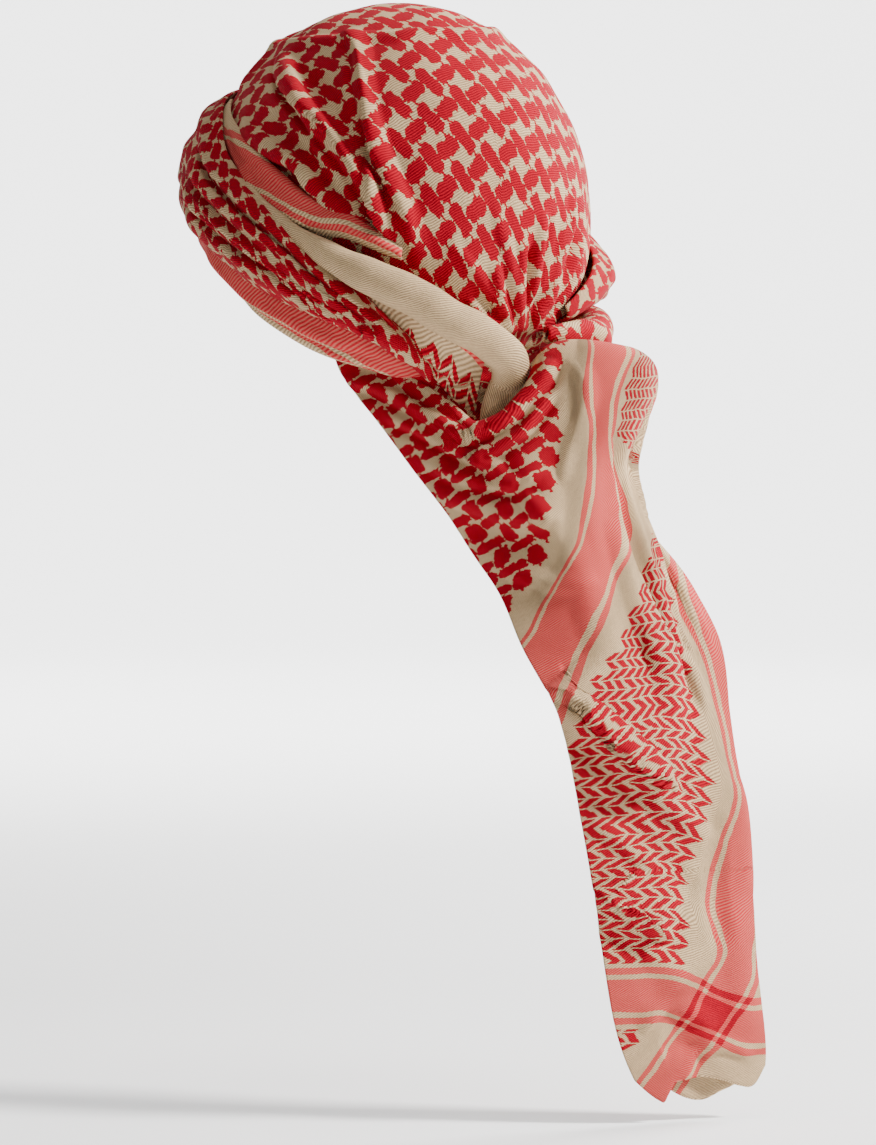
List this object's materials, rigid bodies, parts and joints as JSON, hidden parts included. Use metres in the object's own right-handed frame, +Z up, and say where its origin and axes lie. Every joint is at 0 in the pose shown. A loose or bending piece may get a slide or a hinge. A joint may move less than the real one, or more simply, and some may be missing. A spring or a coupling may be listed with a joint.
{
  "type": "wound scarf turban",
  "caption": "Woven cotton scarf wound round the head as a turban, with pleated wraps, a plain rolled edge and a long tail down the back.",
  "frame": {"origin": "inside of the crown's highest point, where the wearer's head touches the cloth", "axes": "+Z up, the wearer faces -Y, +X is the wearer's left, +Y is the back"},
  "size_m": [0.1895, 0.2747, 0.5039],
  "materials": {
    "checked_cotton": "woven cotton twill, raised red floats on a tan ground",
    "striped_cotton": "woven cotton twill, tan with pinkish red stripes",
    "plain_cotton": "plain tan cotton twill"
  },
  "bodies": {
    "root": {"crown": "checked_cotton", "brow_wrap": "checked_cotton", "under_wrap": "striped_cotton", "inner_fold": "striped_cotton", "stripe_fold": "striped_cotton", "plain_roll": "plain_cotton", "full_roll": "checked_cotton", "nape_layer": "checked_cotton", "tail_front": "checked_cotton", "tail_back": "checked_cotton"}
  },
  "joints": []
}
